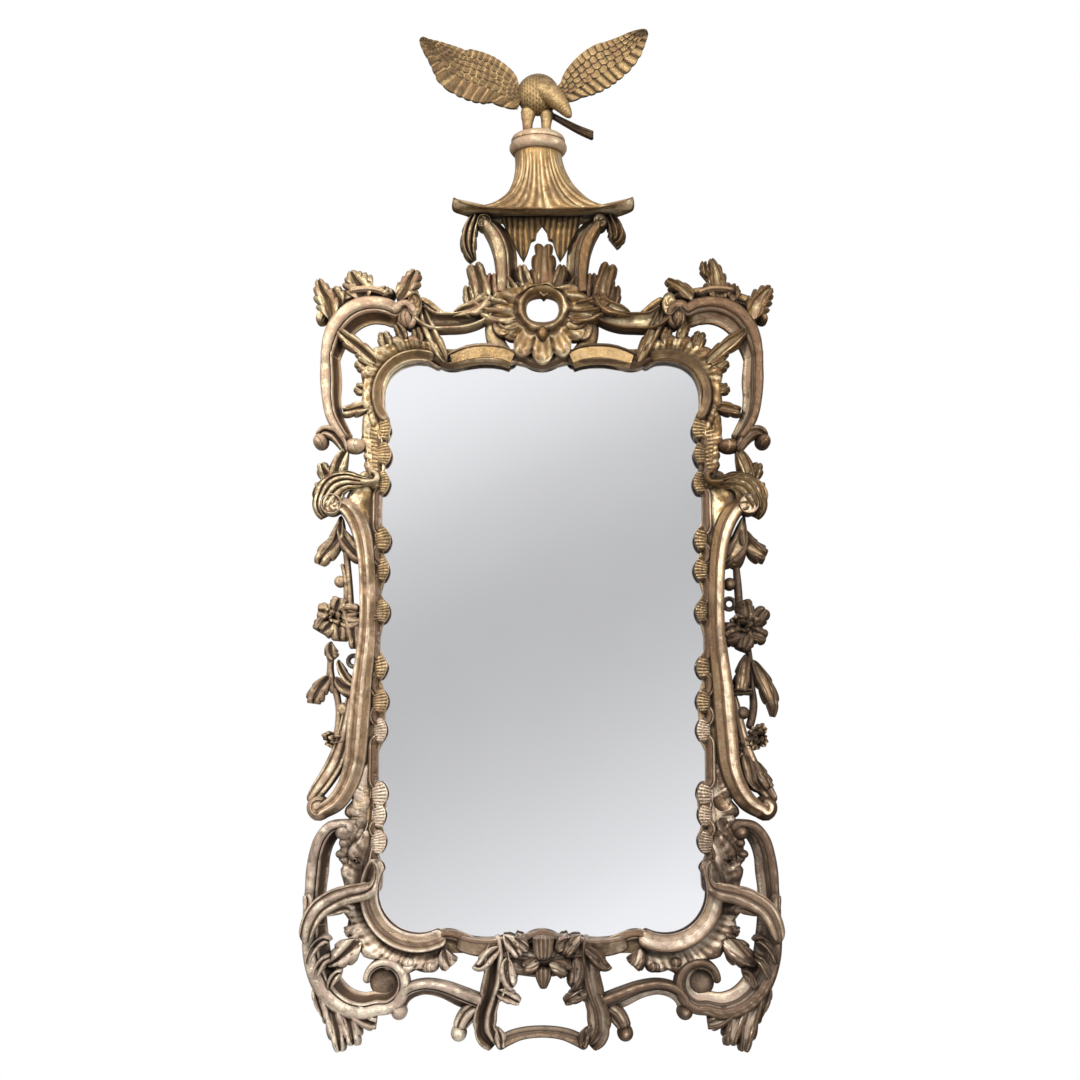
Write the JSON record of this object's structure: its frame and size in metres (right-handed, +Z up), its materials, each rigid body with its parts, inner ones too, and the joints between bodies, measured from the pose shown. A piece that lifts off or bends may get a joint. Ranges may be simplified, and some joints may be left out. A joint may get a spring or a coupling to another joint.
{
  "type": "girandole mirror",
  "caption": "Carved giltwood wall mirror with a pierced scroll and leaf frame, a pagoda crest with a spread-winged bird, and hanging rings.",
  "frame": {"origin": "middle of the mirror plate, on the flat back plane of the frame that lies against the wall", "axes": "+Z up, +X to the right of someone who looks at the glass, the glass faces -Y, the wall side faces +Y"},
  "size_m": [0.7361, 0.086, 1.6012],
  "materials": {
    "gilded_wood": "worn water gilding over a red bole on carved wood",
    "gilded_wood_dull": "duller, darker gilding of the lower carving",
    "mirror_plate": "old silvered plate, polished",
    "pine": "bare aged softwood",
    "old_brass": "dark tarnished brass"
  },
  "bodies": {
    "frame": {"apron_bar": "gilded_wood_dull", "apron_column_left": "gilded_wood_dull", "apron_column_right": "gilded_wood_dull", "apron_scroll_left": "gilded_wood_dull", "apron_scroll_right": "gilded_wood_dull", "apron_shell": "gilded_wood_dull", "backboard_1": "pine", "backboard_2": "pine", "backboard_3": "pine", "big_scroll_left": "gilded_wood_dull", "big_scroll_right": "gilded_wood_dull", "bird_body": "gilded_wood", "bird_wing_left": "gilded_wood", "bird_wing_right": "gilded_wood", "cartouche": "gilded_wood", "corner_arch_left": "gilded_wood", "corner_arch_right": "gilded_wood", "corner_leaves_left": "gilded_wood", "corner_leaves_right": "gilded_wood", "crest_rail_left": "gilded_wood", "crest_rail_right": "gilded_wood", "ear_shell_left": "gilded_wood", "ear_shell_right": "gilded_wood", "garland_left": "gilded_wood", "garland_right": "gilded_wood", "glazing_block_left": "pine", "glazing_block_right": "pine", "long_scroll_left": "gilded_wood", "long_scroll_right": "gilded_wood", "low_scroll_left": "gilded_wood_dull", "low_scroll_right": "gilded_wood_dull", "low_shell_left": "gilded_wood_dull", "low_shell_right": "gilded_wood_dull", "mirror_plate": "mirror_plate", "outer_scroll_left": "gilded_wood", "outer_scroll_right": "gilded_wood", "pagoda_cap": "gilded_wood", "pagoda_roof": "gilded_wood", "post_left": "gilded_wood", "post_right": "gilded_wood", "rail_bottom": "gilded_wood", "rail_top": "gilded_wood", "ring_plate_left": "old_brass", "ring_plate_right": "old_brass", "roof_fringe": "gilded_wood", "screw_lower_left": "old_brass", "screw_lower_right": "old_brass", "screw_upper_left": "old_brass", "screw_upper_right": "old_brass", "side_acanthus_left": "gilded_wood", "side_acanthus_right": "gilded_wood", "spray_left": "gilded_wood", "spray_right": "gilded_wood", "stile_left": "gilded_wood", "stile_right": "gilded_wood", "tassel_left": "gilded_wood", "tassel_right": "gilded_wood"},
    "ring_left": {"hanging_ring_left": "old_brass"},
    "ring_right": {"hanging_ring_right": "old_brass"}
  },
  "joints": [
    {"name": "ring_swing_left", "type": "hinge", "parent": "frame", "child": "ring_left", "pos_m": [-0.2758, -0.01, -0.029], "axis": [0, 0, 1], "range_deg": [-80, 0]},
    {"name": "ring_swing_right", "type": "hinge", "parent": "frame", "child": "ring_right", "pos_m": [0.2758, -0.01, 0.06], "axis": [0, 0, 1], "range_deg": [0, 80]}
  ]
}
